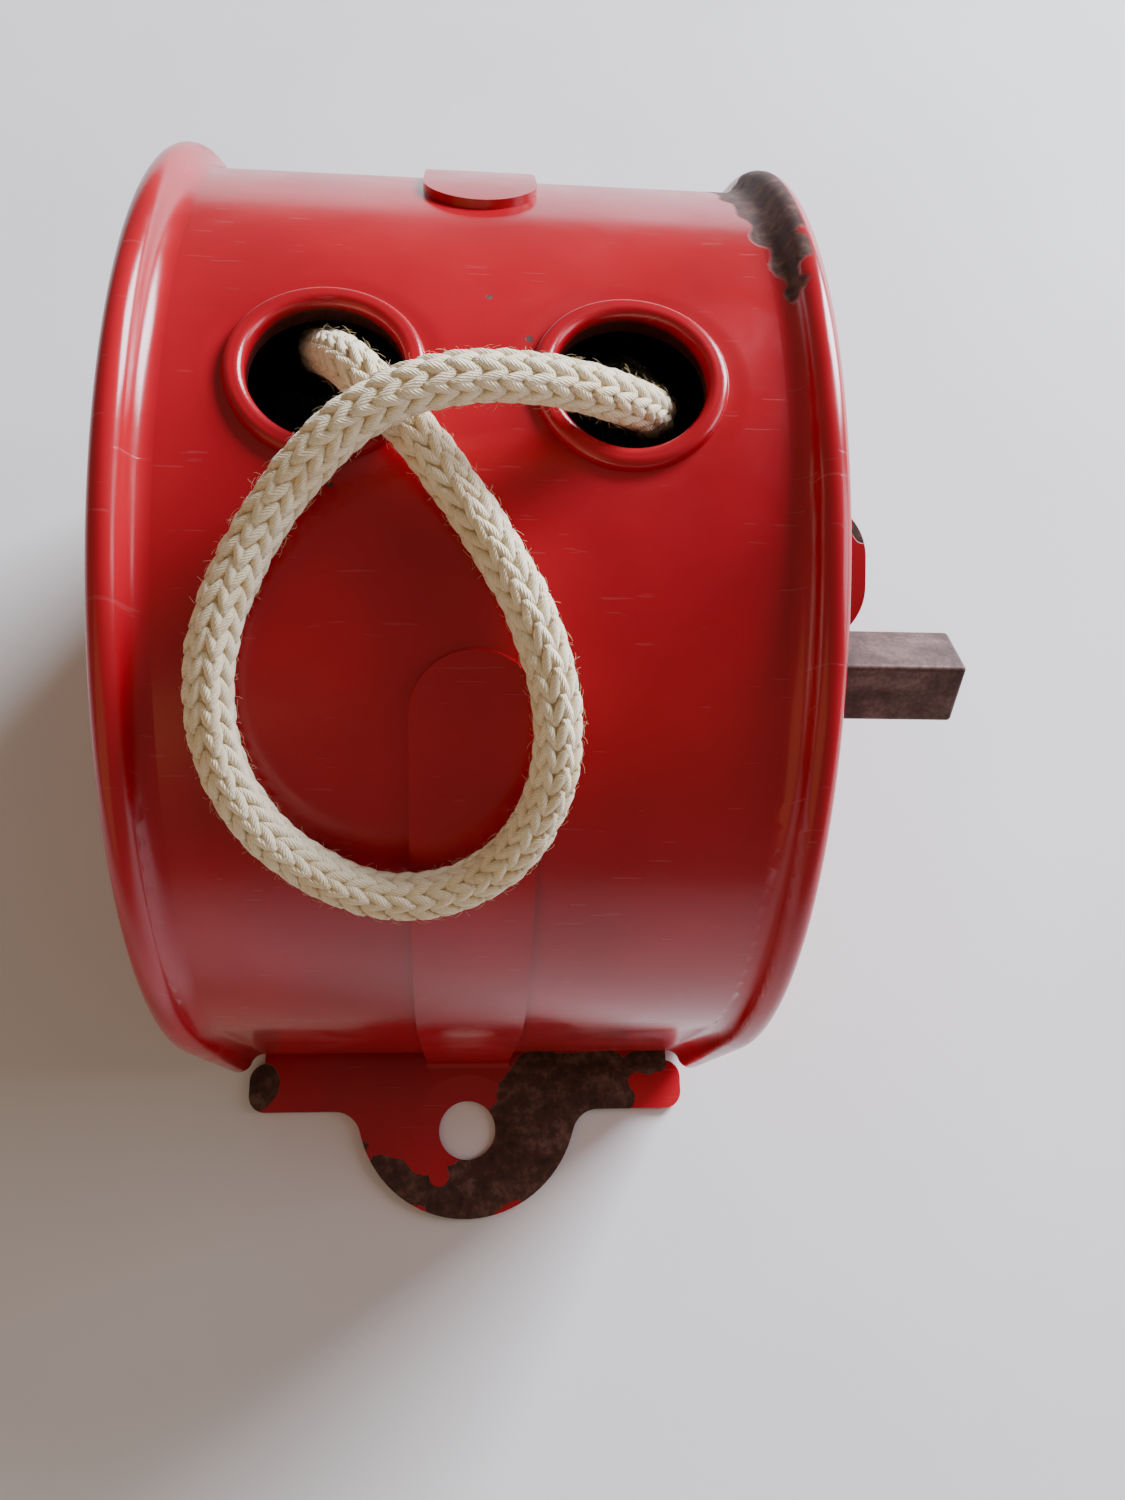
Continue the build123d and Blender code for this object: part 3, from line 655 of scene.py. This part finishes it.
def painted_bore_shade(tree, place):
    """1 on the bore of an outlet, below its lip."""
    part = add(tree, "ShaderNodeSeparateXYZ", None, {0: place})
    aside = add(tree, "ShaderNodeMath", {"operation": "ABSOLUTE"}, {0: part.outputs[0]})
    flat = add(tree, "ShaderNodeCombineXYZ", None, {0: aside.outputs[0], 1: part.outputs[1]})
    gap = add(tree, "ShaderNodeVectorMath", {"operation": "DISTANCE"},
              {0: flat.outputs[0], 1: (OUTLETS[1] * MM, 0.0, 0.0)})
    within = add(tree, "ShaderNodeMath", {"operation": "LESS_THAN"},
                 {0: gap.outputs["Value"], 1: BORE_R * MM})
    below = add(tree, "ShaderNodeMapRange", {"interpolation_type": "SMOOTHSTEP"},
                {"Value": part.outputs[2], "From Min": BORE_TOP * MM,
                 "From Max": (BORE_TOP + SHADE_FADE) * MM, "To Min": 1.0, "To Max": 0.0})
    return add(tree, "ShaderNodeMath", {"operation": "MULTIPLY"},
               {0: within.outputs[0], 1: below.outputs[0]}).outputs[0]


# the bores below BORE_TOP take the dark brown of painted shade
outlet_paint = enamel("gloss_red_enamel_on_the_outlets", inside=painted_bore_shade)
print(outlet_paint.name, "has painted shade below", BORE_TOP, "mm")

# %% The drum's wall is drawn down round each lip
LIP_R = 9.9
DISH_WIDTH = 2.4


def dished_ring(tree, place):
    """Lowest just outside each lip, and level again DISH_WIDTH further out."""
    flat = add(tree, "ShaderNodeVectorMath", {"operation": "MULTIPLY"}, {0: place, 1: (1.0, 1.0, 0.0)})
    rises = []
    for x in OUTLETS:
        gap = add(tree, "ShaderNodeVectorMath", {"operation": "DISTANCE"},
                  {0: flat.outputs[0], 1: (x * MM, 0.0, 0.0)})
        rises.append(add(tree, "ShaderNodeMapRange", {"interpolation_type": "SMOOTHSTEP"},
                         {"Value": gap.outputs["Value"], "From Min": LIP_R * MM,
                          "From Max": (LIP_R + DISH_WIDTH) * MM}).outputs[0])
    return add(tree, "ShaderNodeMath", {"operation": "MULTIPLY"},
               {0: rises[0], 1: rises[1]}).outputs[0]


print("dished from", LIP_R, "to", LIP_R + DISH_WIDTH, "mm round each outlet")

# %% The drum's inner face is painted dark brown: painted shade
WALL_INSIDE = DRUM_R - 1.0
BACK_INSIDE = 3.3 - DRUM_Z


def drum_inside_shade(tree, place):
    """1 on the drum's inner face, 0 on its outer one."""
    low = add(tree, "ShaderNodeVectorMath", {"operation": "SUBTRACT"},
              {0: place, 1: (0.0, 0.0, DRUM_Z * MM)})
    part = add(tree, "ShaderNodeSeparateXYZ", None, {0: low.outputs[0]})
    front = add(tree, "ShaderNodeMath", {"operation": "MAXIMUM"}, {0: part.outputs[2], 1: 0.0})
    flat = add(tree, "ShaderNodeCombineXYZ", None, {1: part.outputs[1], 2: front.outputs[0]})
    radius = add(tree, "ShaderNodeVectorMath", {"operation": "LENGTH"}, {0: flat.outputs[0]})
    within = add(tree, "ShaderNodeMath", {"operation": "LESS_THAN"},
                 {0: radius.outputs["Value"], 1: WALL_INSIDE * MM})
    above = add(tree, "ShaderNodeMath", {"operation": "GREATER_THAN"},
                {0: part.outputs[2], 1: BACK_INSIDE * MM})
    return add(tree, "ShaderNodeMath", {"operation": "MULTIPLY"},
               {0: within.outputs[0], 1: above.outputs[0]}).outputs[0]


print("inside below a radius of", WALL_INSIDE, "mm")

# %% The drum: one ear of the right rim is rubbed bare on its inner side, and there are chips
EAR_BARE = [(33.5, 41, 83, 6.5, 1.0), (33.5, 35, 87.5, 6, 1.0), (33.5, 29, 91, 5, 1.0),
            (33.5, 23, 94, 4.5, 0.9), (33.8, 17, 96.4, 3.6, 0.8), (34.0, 12, 97.6, 2.8, 0.7)]
EAR_EDGE = 34.6
EAR_FADE = 0.4
CHIPS = [(1.0, 10.1, 97.6, 0.4, 0.9), (-14.1, -12.1, 97.2, 0.35, 0.9), (4.9, -50.6, 67.4, 0.6, 1.0),
         (5.1, -52.9, 62.6, 0.45, 1.0), (5.0, 4.6, 98.3, 0.5, 0.8), (28.0, -56.5, 43.5, 0.8, 0.8)]


def drum_wear(tree, place):
    ear = spots(tree, place, EAR_BARE, fray=0.35, scale=260.0, cut=(0.42, 0.62))
    across = add(tree, "ShaderNodeSeparateXYZ", None, {0: place})
    inner = add(tree, "ShaderNodeMapRange", None,
                {"Value": across.outputs[0], "From Min": (EAR_EDGE + EAR_FADE) * MM,
                 "From Max": EAR_EDGE * MM})
    kept = add(tree, "ShaderNodeMath", {"operation": "MULTIPLY"}, {0: ear, 1: inner.outputs[0]})
    small = spots(tree, place, CHIPS, fray=0.5, scale=1500.0)
    return add(tree, "ShaderNodeMath", {"operation": "MAXIMUM"},
               {0: kept.outputs[0], 1: small}).outputs[0]


drum_paint = enamel("gloss_red_enamel_on_the_drum", worn=drum_wear, dished=dished_ring,
                    inside=drum_inside_shade)
print(drum_paint.name, "with", len(CHIPS), "chips")


# %% Paint the housing and the pawl
def finish_nodes(table):
    """Give each finish to its CAD nodes."""
    for finish, nodes in table:
        for node in nodes:
            slots = frame["nodes"][node].data.materials
            slots.clear()
            slots.append(finish)
        print(finish.name, "on", len(nodes), "nodes")


finish_nodes([
    (drum_paint, ("drum_wall",)),
    (paint, ("left_end_cap", "right_end_cap", "upper_mounting_foot")),
    (outlet_paint, ("left_eyelet", "right_eyelet")),
    (foot_paint, ("lower_mounting_foot",)),
    (pawl_paint, ("pawl_lever",)),
])

# %% [markdown]
# ## Bare metals
# The crank and its grip were left to oxidise: black-brown where they are held, greyer on the
# edges. The rivets, axle and ratchet wheel are zinc-plated, dulled to a soft grey. The bushes
# are turned brass, and the spool is grimy sheet steel, darkened near to black by painted shade
# for the inside of the drum. One recipe serves them all, because bare metals differ in colour,
# in the size of their tarnish and in how rough they are.


# %% Metals: patches of tarnish over a fine tooth, with the shader's own IOR
def metal(name, low, mid, high, grain, rough, clean=1.0):
    """grain is how many patches of tarnish lie along a metre, rough the range of roughness,
    and clean how metallic the surface still is."""
    made, tree, shader, place = material(name)
    patch = add(tree, "ShaderNodeTexNoise", None,
                {"Vector": place, "Scale": grain, "Detail": 6.0, "Roughness": 0.65,
                 "Distortion": 0.4})
    # tooth marks 0.45 mm apart
    fine = add(tree, "ShaderNodeTexNoise", None, {"Vector": place, "Scale": 2200.0, "Detail": 2.0})
    tone = add(tree, "ShaderNodeValToRGB", None, {0: patch.outputs["Fac"]},
               [(0.32, low), (0.52, mid), (0.70, high)])
    speck = add(tree, "ShaderNodeValToRGB", None, {0: fine.outputs["Fac"]},
                [(0.35, "#9C9490"), (0.60, "#FFFFFF")])
    speckled = add(tree, "ShaderNodeMix", {"data_type": "RGBA", "blend_type": "MULTIPLY"},
                   {0: 0.5, 6: tone.outputs[0], 7: speck.outputs[0]})
    spread = add(tree, "ShaderNodeMapRange", None,
                 {"Value": patch.outputs["Fac"], "From Min": 0.3, "From Max": 0.7,
                  "To Min": rough[0], "To Max": rough[1]})
    tooth = add(tree, "ShaderNodeBump", None,
                {"Strength": 0.35, "Distance": 0.05 * MM, "Height": fine.outputs["Fac"]})
    crust = add(tree, "ShaderNodeBump", None,
                {"Strength": 0.4, "Distance": 0.1 * MM, "Height": patch.outputs["Fac"],
                 "Normal": tooth.outputs[0]})
    feed(tree, shader, {"Base Color": speckled.outputs[2], "Roughness": spread.outputs[0],
                        "Metallic": clean, "Normal": crust.outputs[0]})
    return made


oxidised = metal("oxidised_mild_steel", "#35211B", "#5C3F38", "#846660", 160.0, (0.66, 0.48),
                 clean=0.3)
zinc = metal("dull_zinc_plate", "#6E6A64", "#8F8B84", "#A8A49C", 240.0, (0.52, 0.34))
brass = metal("turned_brass", "#7A5A22", "#A8843A", "#C4A458", 200.0, (0.45, 0.28))
# the spool's near black is grime and painted shade for the inside of the drum
grimy_shaded_steel = metal("grimy_sheet_steel_and_painted_shade", "#14100E", "#221B18", "#33302C", 220.0, (0.75, 0.6),
              clean=0.5)

finish_nodes([
    (oxidised, ("crank_arm", "crank_grip")),
    (zinc, ("axle", "pawl_pivot_rivet", "pawl_spring_post", "pawl_stop_pin", "pawl_spring",
            "left_thrust_washer", "right_thrust_washer", "retaining_clip", "ratchet_wheel",
            "crank_washer", "crank_nut", "grip_pin")),
    (brass, ("left_bearing_bush", "right_bearing_bush")),
    (grimy_shaded_steel, ("left_spool_core", "right_spool_core", "left_spool_flange",
             "centre_spool_flange", "right_spool_flange")),
])

# %% [markdown]
# ## The floor and the light
# A pale floor lies just under the feet. The light is broad and cool from the upper right,
# like an open garage door, with a weak warm fill from the other side, so that a long soft
# shadow falls to the lower left and the enamel shows one wide pinkish highlight. Large area
# lamps give that softness. A sun or a point lamp would draw hard edges.

# %% A pale floor
FLOOR_HALF = 3.0
FLOOR_GAP = 0.2 * MM
bm = bmesh.new()
bmesh.ops.create_grid(bm, x_segments=2, y_segments=2, size=FLOOR_HALF)
bmesh.ops.translate(bm, verts=bm.verts, vec=(0, 0, -FLOOR_GAP))
floor_data = bpy.data.meshes.new("floor")
bm.to_mesh(floor_data)
bm.free()
floor = bpy.data.objects.new("floor", floor_data)
bpy.context.collection.objects.link(floor)

# a board painted off-white, with a faint mottle of 70 mm
board, tree, shader, place = material("pale_painted_board")
mottle = add(tree, "ShaderNodeTexNoise", None, {"Vector": place, "Scale": 14.0, "Detail": 4.0})
pale = add(tree, "ShaderNodeValToRGB", None, {0: mottle.outputs["Fac"]},
           [(0.3, "#E0DFDD"), (0.7, "#E8E7E4")])
feed(tree, shader, {"Base Color": pale.outputs[0], "Roughness": 0.7})
floor_data.materials.append(board)
print("floor %.0f mm across" % (2 * FLOOR_HALF / MM))

# %% Soft lights: name, place and size in metres, power in watts, colour
LIGHT_AIM = Vector((0.0, 0.0, 0.04))
LAMPS = [
    ("daylight", (0.85, 0.85, 0.62), (0.6, 0.6), 60.0, "#EAF0FF"),
    ("window", (0.70, 0.05, 0.35), (0.3, 0.5), 2.5, "#F4EEFF"),
    ("fill", (-0.6, -0.7, 0.5), (0.8, 0.8), 1.6, "#FFBE7A"),
]
for name, at, size, power, colour in LAMPS:
    data = bpy.data.lights.new(name, "AREA")
    data.shape = "RECTANGLE"
    data.size, data.size_y = size
    data.energy = power
    data.color = tint(colour)[:3]
    lamp = bpy.data.objects.new(name, data)
    facing = (LIGHT_AIM - Vector(at)).to_track_quat("-Z", "Y").to_matrix().to_4x4()
    lamp.matrix_world = Matrix.Translation(at) @ facing
    bpy.context.collection.objects.link(lamp)
    print(name, "%.1f W" % power)

# %% The room's own light
ROOM_STRENGTH = 0.31
world = bpy.data.worlds.new("room")
world.use_nodes = True
background = world.node_tree.nodes["Background"]
background.inputs["Color"].default_value = tint("#E6DACA")
background.inputs["Strength"].default_value = ROOM_STRENGTH
bpy.context.scene.world = world
print("room light", ROOM_STRENGTH)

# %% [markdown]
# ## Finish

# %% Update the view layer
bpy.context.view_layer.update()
